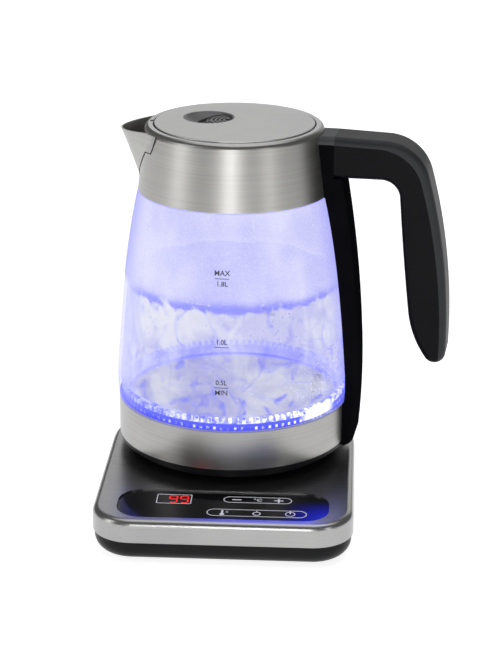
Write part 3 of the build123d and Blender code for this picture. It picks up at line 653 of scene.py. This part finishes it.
def panel_marks():
    """Outlines of the display and of the two rows of touch keys, with the sign of each key."""
    upper, lower = -97.6, -117.0                 # the two rows' middles, mm
    minus, degrees, plus = 8.1, 21.4, 34.7       # across the upper row
    heat, drop, timer = 0, 21.6, 42.5            # across the lower row
    outline, stroke = 0.55, 1.1
    pills = [
        ((-31.5, -99), (22.2, 13.6), 0.8),
        ((21.3, upper), (43.4, 8.8), 4.3),
        ((21.6, lower), (62.6, 10), 4.9),
    ]
    parts = []
    for centre, size, corner in pills:
        shape = slab([v * MM for v in centre], [v * MM for v in size], corner * MM)
        parts.append(hollowed(shape, outline * MM))
    bars = [
        ((minus, upper), (6, stroke)),
        ((plus, upper), (6, stroke)),
        ((plus, upper), (stroke, 6)),
        ((heat, lower + 1), (1.3, 5)),
        ((timer, lower + 2.4), (0.8, 4)),
        ((heat + 3, lower + 2), (1.6, 0.5)),
        ((heat + 3, lower + 0.4), (1.6, 0.5)),
    ]
    for centre, size in bars:
        parts.append(slab([v * MM for v in centre], [v * MM for v in size]))
    parts.append(disc((heat * MM, (lower - 2.2) * MM), 1.5 * MM))
    parts.append(hollowed(disc((timer * MM, lower * MM), 3.2 * MM), 0.6 * MM))
    parts.append(hollowed(disc((drop * MM, (lower - 0.6) * MM), 2.6 * MM, point=2.2 * MM), 0.7 * MM))
    degree_sign = lettering("°C", 5.2 * MM)
    degree_sign.data.transform(Matrix.Translation((degrees * MM, upper * MM, 0)))
    parts.append(degree_sign)
    return printed("panel_marks", parts, window_face)


def display_digits():
    """The set temperature, two nines in seven-segment bars."""
    wide, tall, stroke = 4.6, 9.6, 1.2
    left_digit, right_digit, row = -32.0, -25.0, -99.2
    bar_share = 0.86                             # the rest is the gap between the bars
    lit = [
        ((0, tall / 2), (wide, stroke)),
        ((0, 0), (wide, stroke)),
        ((0, -tall / 2), (wide, stroke)),
        ((-wide / 2, tall / 4), (stroke, tall / 2)),
        ((wide / 2, tall / 4), (stroke, tall / 2)),
        ((wide / 2, -tall / 4), (stroke, tall / 2)),
    ]
    parts = []
    for digit in (left_digit, right_digit):
        for (x, y), size in lit:
            parts.append(slab(((digit + x) * MM, (y + row) * MM), [v * bar_share * MM for v in size]))
    return printed("display_digits", parts, window_face)


# ---------------------------------------------------------------- make and dress the new pieces
draw = random.Random(8)
# Bubbles and drops glow with painted light from the ring.
bubble_skin_painted_glow = moulded(
    "bubble_skin_painted_glow", (0.55, 0.58, 0.95), (0.95, 0.95, 1.0), 0.08, strength=0.0, emission_strength=0.25,
)
bubble_skin_painted_glow.shader.inputs["Emission Color"].default_value = (0.5, 0.52, 1.0, 1)
drop_skin_painted_glow = moulded(
    "drop_skin_painted_glow", (0.5, 0.52, 0.85), (0.85, 0.86, 1.0), 0.06, strength=0.0, emission_strength=0.45,
)
drop_skin_painted_glow.shader.inputs["Emission Color"].default_value = (0.62, 0.62, 1.0, 1)
joint_shade = moulded(
    "joint_shade", (0.012, 0.012, 0.012), (0.03, 0.03, 0.03), 0.6, specular_ior_level=0.1,
)
level_ink = lit_mark("level_ink", (0.05, 0.05, 0.09), 0.0)
new_pieces = [
    (pour_water(), "kettle", "jug_glass", boiling_water()),
    (rising_bubbles(draw), "kettle", "jug_glass", bubble_skin_painted_glow),
    (steam_drops(draw), "kettle", "jug_glass", drop_skin_painted_glow),
    (spout_joint_shadow(), "kettle", "black_plastic", joint_shade),
    (level_scale("level_marks_front", -3.3 * MM, -1), "kettle", "black_plastic", level_ink),
    (level_scale("level_marks_back", 20 * MM, 1), "kettle", "black_plastic", level_ink),
    (panel_marks(), "base", "satin_rim", lit_mark("panel_ink", (0.75, 0.75, 0.8), 0.35)),
    (display_digits(), "base", "satin_rim", lit_mark("display_red", (1.0, 0.015, 0.015), 0.8)),
]
for piece, body, slot, finish in new_pieces:
    dress(piece, finish)
    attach(piece, body)


# ---------------------------------------------------------------- studio and camera
def light_panel(name, place, size, watts, aim=(0, 0, 0.13)):
    """A soft light of a width and height, turned towards the middle of the kettle."""
    lamp = bpy.data.lights.new(name, "AREA")
    lamp.shape = "RECTANGLE"
    lamp.size, lamp.size_y = size
    lamp.energy = watts
    holder = bpy.data.objects.new(name, lamp)
    bpy.context.collection.objects.link(holder)
    holder.location = place
    holder.rotation_euler = (Vector(aim) - Vector(place)).to_track_quat("-Z", "Y").to_euler()


drop_selection()
bpy.ops.mesh.primitive_plane_add(size=14)
floor = bpy.context.object
floor.name = "floor"
paper = Finish("floor_paper", roughness=0.9, emission_strength=0.82)
fibres = paper.grain((300,) * 3)
paper.feed("Base Color", paper.mix(fibres, (0.86, 0.86, 0.86), (0.9, 0.9, 0.9)))
paper.feed("Emission Color", paper.mix(fibres, (0.97, 0.97, 0.97), (1.0, 1.0, 1.0)))
dress(floor, paper)

world = bpy.data.worlds.new("studio")
bpy.context.scene.world = world
world.use_nodes = True
sky = world.node_tree.nodes["Background"]
sky.inputs["Color"].default_value = (1.0, 1.0, 1.02, 1)
sky.inputs["Strength"].default_value = 0.16
light_panel("top_box", (0.1, 0.1, 1.5), (1.4, 1.4), 8)
light_panel("front_strip", (-0.05, -2.3, 0.2), (0.09, 1.4), 13)
light_panel("left_box", (-1.5, -0.7, 0.6), (0.5, 1.2), 5)
light_panel("right_box", (1.3, -1.3, 0.5), (0.22, 1.2), 3)
light_panel("back_box", (0.2, 1.9, 0.8), (1.8, 1.2), 5)

# The camera looks down, from a little to the right. Its turns are in radians.
yaw, pitch, roll = -0.0521, 0.3503, 0.006
camera_place = (0.07647, -1.24953, 0.5623)
lens = bpy.data.cameras.new("camera")
lens.lens = 107.8
lens.sensor_width = 36
camera = bpy.data.objects.new("camera", lens)
bpy.context.collection.objects.link(camera)
aim = (
    Matrix.Rotation(-yaw, 4, "Z") @ Matrix.Rotation(math.pi / 2 - pitch, 4, "X") @ Matrix.Rotation(roll, 4, "Z")
)
camera.matrix_world = Matrix.Translation(camera_place) @ aim
bpy.context.scene.camera = camera
bpy.context.scene.view_settings.view_transform = "Standard"
